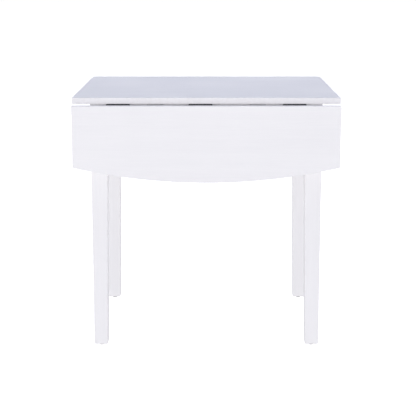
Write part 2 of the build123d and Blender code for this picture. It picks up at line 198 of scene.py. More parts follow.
def joined_arcs(arcs, step):
    """Arcs one after another, with points about a step apart on the straight sides between them."""
    found = [arc_points(*arc) for arc in arcs]
    points, outward = [], []
    for (here, normal), (ahead, _) in zip(found, found[1:] + found[:1]):
        points.append(here)
        outward.append(normal)
        gap = ahead[0] - here[-1]
        count = int(np.linalg.norm(gap) / step)
        share = np.linspace(0, 1, count + 2)[1:-1, None]
        points.append(here[-1] + share * gap)
        outward.append(np.repeat(normal[-1:], count, axis=0))
    return np.vstack(points), np.vstack(outward)


def rectangle(low, high, corner, step):
    """Four quarter circles, anticlockwise from the corner with the highest x and the lowest y."""
    (x0, y0), (x1, y1) = np.add(low, corner), np.subtract(high, corner)
    centres = [((x1, y0), -90), ((x1, y1), 0), ((x0, y1), 90), ((x0, y0), 180)]
    return joined_arcs([(centre, corner, turn, turn + 90) for centre, turn in centres], step)


def bowed_rectangle(half, near, far, bow, corner, step):
    """A rectangle from near to far whose far side is one arc, falling back by bow at its ends. The arc's
    radius comes from half the chord and the bow: (half^2 + bow^2) / (2 bow). The corners roll inside it."""
    radius = (half**2 + bow**2) / (2 * bow)
    middle = far - radius
    x = half - corner
    y = middle + math.sqrt((radius - corner) ** 2 - x**2)
    turn = math.degrees(math.atan2(y - middle, x))
    arcs = [
        ((x, near + corner), corner, -90, 0),
        ((x, y), corner, 0, turn),
        ((0, middle), radius, turn, 180 - turn, BOW_POINTS),
        ((-x, y), corner, 180 - turn, 180),
        ((-x, near + corner), corner, 180, 270),
    ]
    return joined_arcs(arcs, step)


def eased_board(outline, low, high, ease):
    """A board between two heights. Its profile runs over the upper face, round a quarter circle of
    radius ease, down the side and round again, each point a height and a step back from the outline."""
    points, outward = outline
    angles = np.radians(np.linspace(90, 0, ARC))
    upper = np.column_stack([ease * (1 - np.cos(angles)), high - ease + ease * np.sin(angles)])
    lower = np.column_stack([upper[::-1, 0], low + high - upper[::-1, 1]])
    rim = np.vstack([[RIM * ease, high], upper, [0, (low + high) / 2], lower, [RIM * ease, low]])
    rim_edge = np.concatenate([[0], np.ones(ARC), [SIDE_WEAR], np.ones(ARC), [0]])
    flat = points[None] - rim[:, 0, None, None] * outward[None]
    rings = np.dstack([flat, np.broadcast_to(rim[:, 1, None, None], (*flat.shape[:2], 1))])
    middle = points.mean(0)
    shares = np.linspace(0.12, 0.96, FACE_RINGS)[:, None, None]
    faces = []
    for ring, height in ((flat[0], high), (flat[-1], low)):
        inner = middle + shares * (ring - middle)
        faces.append(np.dstack([inner, np.full((*inner.shape[:2], 1), height)]))
    stack = np.concatenate([faces[0], rings, faces[1][::-1]])
    edge = np.concatenate([np.zeros(FACE_RINGS), rim_edge, np.zeros(FACE_RINGS)])
    return ring_stack(stack, edge)


# %% The fixed top
EASE = 1.5 * MM
CORNER = 2.5 * MM
STEP = 25 * MM

low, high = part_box("table_top")
top_outline = rectangle(low[:2], high[:2], CORNER, STEP)
top = make_piece("top_board", [eased_board(top_outline, low.z, high.z, EASE)])
put(top, "frame", "lacquered_top", "table_top")

# %% [markdown]
# ## The two leaves
#
# A leaf is easiest to draw where it is flat: raised, level with the top. It then turns down about the
# hinge axis that the frame gives, by the whole range of that hinge. The depth of its bow is read off the
# CAD leaf: it is how much higher the corners of the hanging leaf are than its lowest point.


# %% Leaves that hang from their hinges
def turned_down(joint):
    """The matrix that takes a raised leaf to its hanging place: a turn by minus the hinge's range."""
    pivot = Matrix.Translation(Vector(joint["pos_m"]))
    angle = -math.radians(joint["range_deg"][1])
    return pivot @ Matrix.Rotation(angle, 4, Vector(joint["axis"])) @ pivot.inverted()


def leaf_bow(node):
    """How much higher the lowest points at a leaf's two ends are than its lowest point of all."""
    mesh = frame["nodes"][node].data
    co = np.empty(len(mesh.vertices) * 3)
    mesh.vertices.foreach_get("co", co)
    co = co.reshape(-1, 3)
    at_end = np.abs(co[:, 0]) > np.abs(co[:, 0]).max() - CORNER / 2
    return float(co[at_end, 2].min() - co[:, 2].min())


def make_leaf(side):
    """A bowed board, drawn raised on the back or the front side and turned down about its hinge."""
    node, joint = "leaf_" + side, joints["leaf_" + side + "_hinge"]
    low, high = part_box(node)
    board, drop = high.y - low.y, high.z - low.z
    axis_y, axis_z = abs(joint["pos_m"][1]), joint["pos_m"][2]
    near = axis_y + (axis_z - high.z)
    outline = bowed_rectangle(high.x, near, near + drop, leaf_bow(node), CORNER, STEP)
    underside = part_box("table_top")[0].z
    stack = eased_board(outline, underside, underside + board, EASE)
    if side == "front":
        stack = placed(stack, Matrix.Rotation(math.pi, 4, "Z"))
    stack = placed(stack, turned_down(joint))
    leaf = make_piece("leaf_board_" + side, [stack])
    return put(leaf, "leaf_" + side, "lacquered_leaf", node)


leaves = [make_leaf(side) for side in ("front", "back")]
print("bow in mm", round(leaf_bow("leaf_front") / MM, 1))

# %% [markdown]
# ## Tapered legs
#
# The outer two faces of each leg are upright, and the inner two slope in towards the foot. The section
# is a square with rounded corners. Its size is a function of height, and its outer corner never moves,
# so the middle of the section drifts outwards as the square shrinks. The bottom edge of the foot is
# rounded, which keeps the wood from splitting when the table is dragged.

# %% Legs
FOOT = 40 * MM
STRAIGHT = 82 * MM  # the square stretch at the top
LEG_CORNER = 2 * MM
FOOT_ROUND = 3 * MM
CORNER_FADE = 3 * MM  # how far from a corner the wear on it ends
TAPER_RINGS = 24


def towards_corner(low, high):
    """Which way a leg's box stands from the middle of the table, in X and in Y: 1 or -1 each."""
    return np.array([math.copysign(1, low.x + high.x), math.copysign(1, low.y + high.y)])


def leg_section(size):
    """A square with rounded corners, centred on zero. Two more points stand just beside each corner, so that
    the edge attribute falls to zero over that distance."""
    centres = size / 2 - LEG_CORNER
    points, edge = [], []
    for turn in (0, 90, 180, 270):
        sign = np.sign([math.cos(math.radians(turn + 45)), math.sin(math.radians(turn + 45))])
        arc, _ = arc_points(sign * centres, LEG_CORNER, turn, turn + 90)
        along_in = np.array([math.sin(math.radians(turn)), -math.cos(math.radians(turn))])
        along_out = np.array([-math.cos(math.radians(turn)), -math.sin(math.radians(turn))])
        points.append(np.vstack([arc[0] + CORNER_FADE * along_in, arc, arc[-1] + CORNER_FADE * along_out]))
        edge.append(np.array([0, *np.ones(ARC), 0]))
    return np.vstack(points), np.concatenate(edge)


def make_leg(place):
    """Rings up the leg: a rounded foot, the taper, and the square top. Where a is the angle round the foot's
    edge, each ring steps in by FOOT_ROUND (1 - sin a) and stands FOOT_ROUND (1 - cos a) above the bottom."""
    node = "leg_" + place
    low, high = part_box(node)
    out = towards_corner(low, high)
    corner = np.array([high.x if out[0] > 0 else low.x, high.y if out[1] > 0 else low.y])
    full = high.x - low.x
    knee = high.z - STRAIGHT
    turn = np.linspace(0, math.pi / 2, 5)
    foot = low.z + FOOT_ROUND * (1 - np.cos(turn))
    taper = np.linspace(low.z + 2 * FOOT_ROUND, knee, TAPER_RINGS)
    heights = np.concatenate([foot, taper, np.linspace(knee, high.z, 5)[1:]])
    at_foot = np.arange(len(heights)) < len(foot)
    insets = np.zeros(len(heights))
    insets[at_foot] = FOOT_ROUND * (1 - np.sin(turn))
    sizes = np.where(heights < knee, FOOT + (full - FOOT) * (heights - low.z) / (knee - low.z), full)
    rings, edges = [], []
    for height, size, inset, worn in zip(heights, sizes, insets, at_foot):
        section, edge = leg_section(size - 2 * inset)
        middle = corner - out * size / 2
        rings.append(np.column_stack([section + middle, np.full(len(section), height)]))
        edges.append(np.maximum(edge, worn))
    stack = ring_stack(rings, np.array(edges))
    return put(make_piece("tapered_" + node, [stack]), "frame", "lacquered_frame", node)


PLACES = ("front_left", "front_right", "back_left", "back_right")
legs = [make_leg(place) for place in PLACES]

# %% [markdown]
# ## Turned pieces
#
# A glide, a finger knob, a washer and a hinge pin are all turned: a profile of radius and height goes
# round an axis. The profile has only the points that its shape needs, and short arcs round its corners.
# Both ends of the profile lie near the axis, where the last ring closes on one point.


# %% Turning a profile
AXIS = 0.02 * MM  # how near its axis a turned profile starts and ends


def rounded_profile(points, radii, steps=5):
    """A polyline of (radius, height) points with each inner corner p replaced by the quadratic curve
    (1-t)^2 a + 2t(1-t) p + t^2 b. Its ends a and b lie that corner's radius from p, or half a side."""
    points = np.asarray(points, float)
    t = np.linspace(0, 1, steps)[:, None]
    made = [points[:1]]
    for before, at, after, reach in zip(points, points[1:], points[2:], radii):
        a = at + (before - at) * min(0.5, reach / np.linalg.norm(before - at))
        b = at + (after - at) * min(0.5, reach / np.linalg.norm(after - at))
        made.append((1 - t) ** 2 * a + 2 * t * (1 - t) * at + t**2 * b)
    return np.vstack([*made, points[-1:]])


def turned(profile, count=48, edge=None, wrap=False):
    """Each (radius, height) of the profile becomes a circle: (r cos a, r sin a, height)."""
    profile = np.asarray(profile, float)
    angles = np.linspace(0, 2 * math.pi, count, endpoint=False)
    circle = np.column_stack([np.cos(angles), np.sin(angles)])
    flat = profile[:, 0, None, None] * circle[None]
    heights = np.broadcast_to(profile[:, 1, None, None], (len(profile), count, 1))
    return ring_stack(np.dstack([flat, heights]), edge, wrap)


def over_middle(low, high):
    """Moves a piece drawn round the Z axis over the middle of a box and leaves its heights alone."""
    return Matrix.Translation(((low.x + high.x) / 2, (low.y + high.y) / 2, 0))


# %% Glides under the legs
GLIDE_RIM = 0.6 * MM
GLIDE_WAIST = 0.9 * MM  # how far the waist steps in
GLIDE_COLLAR = 0.3 * MM
GLIDE_NAIL = 1.3 * MM
GLIDE_POINT = 2 * MM


def make_glide(place):
    """A nail-on glide: a flat foot, a waist, and a collar against the wood, with its nail. The heights
    of the pad's profile are shares of the gap between the floor and the wood."""
    node = "glide_" + place
    low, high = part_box(node)
    radius = (high.x - low.x) / 2
    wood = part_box("leg_" + place)[0].z
    tall = wood - low.z
    waist, collar = radius - GLIDE_WAIST, radius - GLIDE_COLLAR
    shape = [
        (AXIS, low.z),
        (radius - GLIDE_RIM, low.z),
        (radius, low.z + 0.15 * tall),
        (radius, low.z + 0.60 * tall),
        (waist, low.z + 0.70 * tall),
        (waist, low.z + 0.80 * tall),
        (collar, low.z + 0.88 * tall),
        (collar, wood),
        (GLIDE_NAIL, wood),
        (GLIDE_NAIL, high.z - GLIDE_POINT),
        (AXIS, high.z),
    ]
    profile = rounded_profile(shape, [0.3 * MM, 0.3 * MM, 0.4 * MM, *[0.2 * MM] * 6], 5)
    edge = np.clip(1 - (profile[:, 1] - low.z) / (0.5 * tall), 0, 1)
    piece = make_piece("glide_pad_" + place, [placed(turned(profile, 48, edge), over_middle(low, high))])
    return put(piece, "frame", "glide_plastic", node)


glides = [make_glide(place) for place in PLACES]


# %% Finger knobs under the support bars
KNOB_DOME = 0.4 * MM
KNOB_CROWN = 2.5 * MM
KNOB_GRIP = 8.5 * MM
KNOB_WAIST = 13.5 * MM
KNOB_NECK = 0.62  # as a share of the grip's radius
KNOB_FLARE = 2.2 * MM  # from the bar down to where the flange begins
KNOB_FLANGE = 1.6 * MM
STUD_RADIUS = 2.45 * MM
STUD_SUNK = 0.2 * MM


def make_knob(place):
    """A finger knob: a domed face, a thick grip, a narrow neck, a flange under the bar, and a stud."""
    node = "support_knob_" + place
    low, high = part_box(node)
    bar_low, bar_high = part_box("support_bar_" + place)
    radius = (high.x - low.x) / 2
    shape = [
        (AXIS, low.z),
        (0.55 * radius, low.z + KNOB_DOME),
        (radius, low.z + KNOB_CROWN),
        (radius, low.z + KNOB_GRIP),
        (KNOB_NECK * radius, low.z + KNOB_WAIST),
        (KNOB_NECK * radius, bar_low.z - KNOB_FLARE),
        (radius, bar_low.z - KNOB_FLANGE),
        (radius, bar_low.z),
        (STUD_RADIUS, bar_low.z),
        (STUD_RADIUS, bar_high.z - STUD_SUNK),
        (AXIS, bar_high.z - STUD_SUNK),
    ]
    reach = [2 * MM, 2.2 * MM, 2.2 * MM, 3 * MM, 0.6 * MM, 0.4 * MM, 0.3 * MM, 0.1 * MM, 0.3 * MM]
    profile = rounded_profile(shape, reach, 7)
    on_grip = (profile[:, 1] < low.z + KNOB_GRIP + 0.5 * MM) & (profile[:, 0] > 0.9 * radius)
    stack = placed(turned(profile, 56, np.where(on_grip, 1.0, 0.0)), over_middle(low, high))
    piece = make_piece("finger_knob_" + place, [stack])
    return put(piece, "support_" + place, "knob_plastic", node)


knobs = [make_knob(place) for place in PLACES]

# %% [markdown]
# ## Hinge pins
#
# Three pins lie along each hinge axis. Their ends are peened, which leaves a low dome. The pin's axis
# comes from the hinge joint, and its ends from the CAD hinge plates.

# %% Pins with peened heads
PIN_RADIUS = 1.3 * MM
HEAD_RADIUS = 2.1 * MM
HEAD = 0.9 * MM
HINGES = ("left", "middle", "right")


def pin_stack(low_x, high_x, axis_y, axis_z):
    """A rod turned about Z with a domed head at each end, then laid along X through the hinge axis."""
    length = high_x - low_x
    dome = [(AXIS, -HEAD), (0.7 * HEAD_RADIUS, -0.92 * HEAD), (HEAD_RADIUS, -0.35 * HEAD), (HEAD_RADIUS, 0)]
    first = dome + [(PIN_RADIUS, 0)]
    second = [(r, length - z) for r, z in first[::-1]]
    reach = [0.6 * MM, 0.6 * MM, 0.15 * MM, 0.05 * MM, 0.05 * MM, 0.15 * MM, 0.6 * MM, 0.6 * MM]
    profile = rounded_profile(first + second, reach, 6)
    lay = Matrix.Translation((low_x, axis_y, axis_z)) @ Matrix.Rotation(math.pi / 2, 4, "Y")
    return placed(turned(profile, 32, np.where(profile[:, 0] > 1.1 * PIN_RADIUS, 1.0, 0.2)), lay)


def make_pins(side):
    """The three pins of one leaf, each as long as its hinge plate."""
    _, axis_y, axis_z = joints["leaf_" + side + "_hinge"]["pos_m"]
    stacks = []
    for name in HINGES:
        low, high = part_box("hinge_plate_" + side + "_" + name)
        stacks.append(pin_stack(low.x, high.x, axis_y, axis_z))
    return put(make_piece("peened_pins_" + side, stacks), "frame", "blackened_steel", "hinge_pins_" + side)


pins = [make_pins(side) for side in ("front", "back")]

# %% [markdown]
# ## Leg fixings
#
# A hanger bolt runs from each leg through its corner block, with a washer and a nut on the inside. All
# three point along the leg's diagonal. The thread is real geometry: the rod's radius is a wave whose
# crest climbs one pitch for each turn. The nut is a hexagon cut by a cone at both ends, which is what
# gives a nut its curved corners.


# %% Threads, nuts and washers
BLOCK_INNER = 340 * MM  # from the middle of the table to a block's inner face, along the diagonal
BLOCK = 20 * MM
IN_LEG = 42 * MM
TAIL = 13 * MM
WASHER = 1.6 * MM
WASHER_RADIUS = 11 * MM
NUT = 6.5 * MM
NUT_FLATS = 13 * MM
BOLT_RADIUS = 4 * MM
PITCH = 1.25 * MM
THREAD_DEPTH = 0.66 * MM
TIP_TAPER = 0.7 * MM  # at the nut's end of a bolt
END_CHAMFER = 0.8 * MM  # at the end inside the leg
NUT_MOUTH = 0.5 * MM
NUT_FACE = 0.95  # how wide a nut's end face is, as a share of the distance across its flats


def threaded_rod(length, threaded):
    """Rings a sixth of a pitch apart, of radius R - d w, where w is a triangle wave of turn and height
    that rises one pitch each turn. The wave fades out at the rod's end and where the thread stops."""
    count = 36
    angles = np.linspace(0, 2 * math.pi, count, endpoint=False)
    heights = np.concatenate([np.arange(0, threaded, PITCH / 6), [threaded, length - 1 * MM, length]])
    phase = (heights[:, None] / PITCH - angles[None] / (2 * math.pi)) % 1
    wave = np.abs(2 * phase - 1)
    fade = np.clip(heights / (1.5 * PITCH), 0, 1) * np.clip((threaded - heights) / PITCH, 0, 1)
    start = (np.clip(heights / (0.8 * PITCH), 0, 1) - 1) * TIP_TAPER
    end = np.where(heights >= length, -END_CHAMFER, 0)
    radius = BOLT_RADIUS - THREAD_DEPTH * wave * fade[:, None] + (start + end)[:, None]
    xy = radius[..., None] * np.stack([np.cos(angles), np.sin(angles)], axis=-1)[None]
    z = np.broadcast_to(heights[:, None, None], (len(heights), count, 1))
    return ring_stack(np.dstack([xy, z]))


def hexagon_nut(across, height, bore):
    """For each angle the hexagon's radius is (across / 2) / cos(angle from the nearest flat's middle).
    The cone starts at a circle inside the flats and drops by tan(30 degrees) times what sticks out."""
    count = 96
    angles = np.linspace(0, 2 * math.pi, count, endpoint=False)
    from_flat = (angles + math.pi / 6) % (math.pi / 3) - math.pi / 6
    hexagon = across / 2 / np.cos(from_flat)
    face = np.full(count, NUT_FACE * across / 2)
    drop = (hexagon - face) * math.tan(math.radians(30))
    hole = np.full(count, bore)
    mouth = hole + NUT_MOUTH
    radii = [hole, mouth, face, hexagon, hexagon, face, mouth, hole]
    flat = np.zeros(count)
    lower = [flat + NUT_MOUTH, flat, flat, drop]
    heights = lower + [height - level for level in lower[::-1]]
    circle = np.column_stack([np.cos(angles), np.sin(angles)])
    rings = [np.column_stack([r[:, None] * circle, z]) for r, z in zip(radii, heights)]
    return ring_stack(rings, wrap=True)


def flat_washer(radius, bore, thickness):
    """A closed ring: a rectangle with eased corners, turned about the axis."""
    ease = 0.25 * MM
    lower = [(bore, ease), (bore + ease, 0), (radius - ease, 0), (radius, ease)]
    upper = [(r, thickness - z) for r, z in lower[::-1]]
    return turned(lower + upper, 64, wrap=True)


def along_diagonal(low, high, reach):
    """Lays a piece drawn up Z along a leg's diagonal, pointing out, at a distance from the middle."""
    middle = over_middle(low, high).translation
    way = Vector((*towards_corner(low, high), 0)).normalized()
    spot = middle + way * (reach - middle.dot(way))
    spot.z = sum(corner.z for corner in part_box("apron_front")) / 2
    return Matrix.Translation(spot) @ Vector((0, 0, 1)).rotation_difference(way).to_matrix().to_4x4()


def make_fixings():
    """One bolt, nut and washer for each leg. All four of a kind are one piece, as they are one CAD node."""
    stacks = {"hanger_bolts": [], "leg_nuts": [], "leg_washers": []}
    shapes = {
        "hanger_bolts": (threaded_rod(TAIL + BLOCK + IN_LEG, TAIL + 5 * MM), -TAIL),
        "leg_nuts": (hexagon_nut(NUT_FLATS, NUT, BOLT_RADIUS - 0.3 * MM), -WASHER - NUT),
        "leg_washers": (flat_washer(WASHER_RADIUS, BOLT_RADIUS, WASHER), -WASHER),
    }
    for place in PLACES:
        low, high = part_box("leg_" + place)
        for node, (shape, shift) in shapes.items():
            stacks[node].append(placed(shape, along_diagonal(low, high, BLOCK_INNER + shift)))
    names = {"hanger_bolts": "threaded_bolts", "leg_nuts": "chamfered_nuts", "leg_washers": "eased_washers"}
    return [put(make_piece(names[n], stacks[n], 25), "frame", "zinc_steel", n) for n in stacks]


fixings = make_fixings()

# %% [markdown]
# ## Helpers for finishes
#
# A finish is a small tree of shader nodes. The helper below adds a node and fills its inputs in one go:
# a number or colour is set on the socket, and another node's output is linked to it. Effects that
# several finishes share are node groups, built once with named inputs and outputs and placed with each
# finish's own values. They put out only masks and heights, and the shader itself stays in the material.


# %% Node helpers
def add(tree, kind, inputs=None, **settings):
    """Adds a node, sets its own settings, and sets or links each named input."""
    made = tree.nodes.new(kind)
    for key, value in settings.items():
        setattr(made, key, value)
    for key, value in (inputs or {}).items():
        if isinstance(value, bpy.types.NodeSocket):
            tree.links.new(value, made.inputs[key])
        else:
            made.inputs[key].default_value = value
    return made


def math_node(tree, operation, first, second=0.0, clamp=False):
    """The result of one sum, product or other operation on two values."""
    made = add(tree, "ShaderNodeMath", {0: first, 1: second}, operation=operation, use_clamp=clamp)
    return made.outputs[0]


def mix_colour(tree, factor, first, second):
    """A blend of two colours. The colour form of the mix node has its sockets at 0, 6 and 7."""
    made = add(tree, "ShaderNodeMix", data_type="RGBA")
    for socket, value in ((made.inputs[0], factor), (made.inputs[6], first), (made.inputs[7], second)):
        if isinstance(value, bpy.types.NodeSocket):
            tree.links.new(value, socket)
        else:
            socket.default_value = value if socket.type != "RGBA" else (*value, 1)
    return made.outputs[2]


def remap(tree, value, from_low, from_high, to_low, to_high):
    """Stretches a value from one range to another and holds it there."""
    source = {"Value": value, "From Min": from_low, "From Max": from_high}
    sockets = {**source, "To Min": to_low, "To Max": to_high}
    return add(tree, "ShaderNodeMapRange", sockets, clamp=True).outputs["Result"]


def new_group(name, inputs, outputs):
    """An empty node group. inputs is a list of (label, socket kind, default), and outputs of labels."""
    tree = bpy.data.node_groups.new(name, "ShaderNodeTree")
    for label, kind, default in inputs:
        socket = tree.interface.new_socket(label, in_out="INPUT", socket_type=kind)
        if default is not None:
            socket.default_value = default
    for label in outputs:
        tree.interface.new_socket(label, in_out="OUTPUT", socket_type="NodeSocketFloat")
    return tree, add(tree, "NodeGroupInput").outputs, add(tree, "NodeGroupOutput")


def use_group(tree, group, inputs):
    """Places a shared group in a finish with that finish's own values."""
    return add(tree, "ShaderNodeGroup", inputs, node_tree=group).outputs


# %% [markdown]
# ## Shared effects
#
# - fibres: wood pores as long streaks. The coordinates arrive already stretched along the grain, so
#   noise that is round in the group is long on the board. It gives fine streaks and a broad, slow
#   figure.
# - worn_edge: where the edge attribute is high, broken up by noise so that it never looks drawn with a
#   ruler.
# - mottle: soft clouds between two values, for the uneven sheen of any handled surface.
# - orange_peel: the tiny ripple of a sprayed lacquer, and the texture of a moulded plastic.


# %% Node groups
def build_fibres():
    """Two noises in the same stretched space: fine pores, and a slow figure nine times as large."""
    tree, given, out = new_group("fibres", [("Vector", "NodeSocketVector", None)], ["Fine", "Broad"])
    pores = {"Vector": given["Vector"], "Scale": 1, "Detail": 5, "Roughness": 0.62}
    fine = add(tree, "ShaderNodeTexNoise", pores)
    broad = {"Vector": given["Vector"], "Scale": 0.11, "Detail": 3, "Roughness": 0.5, "Distortion": 0.6}
    slow = add(tree, "ShaderNodeTexNoise", broad)
    tree.links.new(fine.outputs["Fac"], out.inputs["Fine"])
    tree.links.new(slow.outputs["Fac"], out.inputs["Broad"])
    return tree


def build_worn_edge():
    """The edge attribute times a noise that is squeezed into patches, times the finish's own amount."""
    numbers = [("Scale", "NodeSocketFloat", 90.0), ("Amount", "NodeSocketFloat", 0.5)]
    tree, given, out = new_group("worn_edge", [("Vector", "NodeSocketVector", None), *numbers], ["Mask"])
    edge = add(tree, "ShaderNodeAttribute", attribute_name="edge").outputs["Fac"]
    patches = {"Vector": given["Vector"], "Scale": given["Scale"], "Detail": 4}
    noise = add(tree, "ShaderNodeTexNoise", patches)
    rubbed = remap(tree, noise.outputs["Fac"], 0.42, 0.62, 0.0, 1.0)
    worn = math_node(tree, "MULTIPLY", edge, rubbed)
    tree.links.new(math_node(tree, "MULTIPLY", worn, given["Amount"], True), out.inputs["Mask"])
    return tree


def build_mottle():
    """A soft noise, stretched to run from Low to High."""
    values = {"Scale": 6.0, "Low": 0.3, "High": 0.5}
    numbers = [(label, "NodeSocketFloat", value) for label, value in values.items()]
    tree, given, out = new_group("mottle", [("Vector", "NodeSocketVector", None), *numbers], ["Value"])
    soft = {"Vector": given["Vector"], "Scale": given["Scale"], "Detail": 3, "Roughness": 0.55}
    cloud = add(tree, "ShaderNodeTexNoise", soft)
    value = remap(tree, cloud.outputs["Fac"], 0.3, 0.7, given["Low"], given["High"])
    tree.links.new(value, out.inputs["Value"])
    return tree


def build_orange_peel():
    """A smooth, even noise, used only as a height."""
    sockets = [("Vector", "NodeSocketVector", None), ("Scale", "NodeSocketFloat", 700.0)]
    tree, given, out = new_group("orange_peel", sockets, ["Height"])
    smooth = {"Vector": given["Vector"], "Scale": given["Scale"], "Detail": 1, "Roughness": 0.4}
    ripple = add(tree, "ShaderNodeTexNoise", smooth)
    tree.links.new(ripple.outputs["Fac"], out.inputs["Height"])
    return tree


fibres = build_fibres()
worn_edge = build_worn_edge()
mottle = build_mottle()
orange_peel = build_orange_peel()
print("node groups", sorted(group.name for group in bpy.data.node_groups))

# %% [markdown]
# ## White lacquer over wood
#
# Close up, lacquered wood is not a flat white. The pores below telegraph through the film as faint
# streaks along the grain, the film itself has a fine ripple, and the sheen varies a little. Along an
# edge the film is thinner, so a trace of the ground coat shows. The streaks run along X on the boards
# and up Z on the legs, which is the way the wood was cut.


# %% Lacquered wood
PORES_PER_METRE = 430
PORE_STRETCH = 26


def grain_space(tree, along):
    """Object coordinates with the grain's own axis shrunk, which draws noise out into streaks along it."""
    where = add(tree, "ShaderNodeTexCoord").outputs["Object"]
    scale = [PORES_PER_METRE] * 3
    scale["xyz".index(along)] = PORES_PER_METRE / PORE_STRETCH
    return where, add(tree, "ShaderNodeMapping", {"Vector": where, "Scale": scale}).outputs["Vector"]


def new_material(name):
    """A material with only a Principled shader and its output."""
    material = bpy.data.materials.new(name)
    material.use_nodes = True
    tree = material.node_tree
    tree.nodes.clear()
    shader = add(tree, "ShaderNodeBsdfPrincipled")
    add(tree, "ShaderNodeOutputMaterial", {"Surface": shader.outputs["BSDF"]})
    return material, tree, shader


def set_bump(tree, shader, height, strength, distance):
    """Tilts the shader's normal by a height, whose full range stands for a distance in metres."""
    bump = add(tree, "ShaderNodeBump", {"Height": height, "Strength": strength, "Distance": distance})
    tree.links.new(bump.outputs["Normal"], shader.inputs["Normal"])


WHITE = (0.800, 0.792, 0.806)
SHADE = (0.770, 0.762, 0.780)
GROUND = (0.68, 0.66, 0.66)


def lacquer(name, along):
    """White lacquer: colour between two close whites by the grain, and a darker ground at the worn edges."""
    material, tree, shader = new_material(name)
    where, stretched = grain_space(tree, along)
    grain = use_group(tree, fibres, {"Vector": stretched})
    streak = remap(tree, grain["Fine"], 0.35, 0.68, 0.0, 0.5)
    figure = remap(tree, grain["Broad"], 0.3, 0.7, 0.0, 0.5)
    tone = mix_colour(tree, math_node(tree, "ADD", streak, figure), WHITE, SHADE)
    worn = use_group(tree, worn_edge, {"Vector": where, "Scale": 120, "Amount": 0.30})["Mask"]
    tree.links.new(mix_colour(tree, worn, tone, GROUND), shader.inputs["Base Color"])
    sheen = use_group(tree, mottle, {"Vector": where, "Scale": 7, "Low": 0.36, "High": 0.48})["Value"]
    pores = remap(tree, grain["Fine"], 0.4, 0.7, 0.0, 0.05)
    tree.links.new(math_node(tree, "ADD", sheen, pores), shader.inputs["Roughness"])
    ripple = use_group(tree, orange_peel, {"Vector": where, "Scale": 650})["Height"]
    telegraphed = math_node(tree, "MULTIPLY", grain["Fine"], 0.75)
    film = math_node(tree, "MULTIPLY", ripple, 0.25)
    set_bump(tree, shader, math_node(tree, "ADD", telegraphed, film), 0.35, 0.12 * MM)
    shader.inputs["Specular IOR Level"].default_value = 0.42
    return material


lacquer_along_x = lacquer("lacquer_along_x", "x")
lacquer_along_y = lacquer("lacquer_along_y", "y")
lacquer_along_z = lacquer("lacquer_along_z", "z")
print("lacquers", [material.name for material in (lacquer_along_x, lacquer_along_y, lacquer_along_z)])

# %% [markdown]
# ## Bare hardwood
#
# The centre rail, the corner blocks and the dowels are never seen in use, so a maker leaves them planed
# and unfinished. The wood is a pale beech: short dark flecks and slow bands of colour along the grain.


# %% Hardwood
BEECH_PALE = (0.60, 0.41, 0.245)
BEECH_DARK = (0.46, 0.285, 0.155)
BEECH_FLECK = (0.27, 0.15, 0.075)


def hardwood(name, turn):
    """Beech with its grain along X, turned about Z by a number of degrees."""
    material, tree, shader = new_material(name)
    where = add(tree, "ShaderNodeTexCoord").outputs["Object"]
    turned_back = (0, 0, -math.radians(turn))
    along_x = add(tree, "ShaderNodeMapping", {"Vector": where, "Rotation": turned_back}).outputs["Vector"]
    squeezed = add(tree, "ShaderNodeMapping", {"Vector": along_x, "Scale": (16, 260, 260)})
    stretched = squeezed.outputs["Vector"]
    grain = use_group(tree, fibres, {"Vector": stretched})
    bands = remap(tree, grain["Broad"], 0.32, 0.68, 0.0, 1.0)
    wood = mix_colour(tree, bands, BEECH_PALE, BEECH_DARK)
    flecks = add(tree, "ShaderNodeTexVoronoi", {"Vector": stretched, "Scale": 0.35, "Randomness": 1.0})
    mark = remap(tree, flecks.outputs["Distance"], 0.10, 0.28, 0.35, 0.0)
    tree.links.new(mix_colour(tree, mark, wood, BEECH_FLECK), shader.inputs["Base Color"])
    rough = use_group(tree, mottle, {"Vector": where, "Scale": 14, "Low": 0.6, "High": 0.78})["Value"]
    tree.links.new(rough, shader.inputs["Roughness"])
    set_bump(tree, shader, grain["Fine"], 0.5, 0.3 * MM)
    shader.inputs["Specular IOR Level"].default_value = 0.3
    return material


hardwood_along_x = hardwood("hardwood_along_x", 0)
hardwood_along_y = hardwood("hardwood_along_y", 90)
hardwood_rising = hardwood("hardwood_rising", 45)
hardwood_falling = hardwood("hardwood_falling", -45)
print("hardwoods", sorted(m.name for m in bpy.data.materials if m.name.startswith("hardwood")))

# %% [markdown]
# ## Metals
#
# Three metals are used. The hinges are blackened steel, whose dark skin is slightly uneven and rubs
# through to bright metal on high spots. The screws, nuts and brackets are zinc plated, which dries in a
# faint crystal bloom. The support bars are drawn steel, with fine scratches along their length from
# sliding in their guides.


# %% Steel finishes
def blackened(name):
    """Blackened steel: a cloudy dark skin that shows bright metal at worn edges."""
    material, tree, shader = new_material(name)
    where = add(tree, "ShaderNodeTexCoord").outputs["Object"]
    cloud = use_group(tree, mottle, {"Vector": where, "Scale": 160, "Low": 0.0, "High": 1.0})["Value"]
    skin = mix_colour(tree, cloud, (0.034, 0.034, 0.037), (0.070, 0.068, 0.067))
    worn = use_group(tree, worn_edge, {"Vector": where, "Scale": 900, "Amount": 0.8})["Mask"]
    tree.links.new(mix_colour(tree, worn, skin, (0.32, 0.31, 0.30)), shader.inputs["Base Color"])
    rough = use_group(tree, mottle, {"Vector": where, "Scale": 240, "Low": 0.34, "High": 0.55})["Value"]
    tree.links.new(rough, shader.inputs["Roughness"])
    grit = use_group(tree, orange_peel, {"Vector": where, "Scale": 2600})["Height"]
    set_bump(tree, shader, grit, 0.3, 0.05 * MM)
    shader.inputs["Metallic"].default_value = 0.75
    return material


ZINC_BRIGHT = (0.66, 0.67, 0.68)
ZINC_DULL = (0.50, 0.51, 0.53)
STEEL_DARK = (0.44, 0.45, 0.46)
STEEL_BRIGHT = (0.66, 0.66, 0.67)


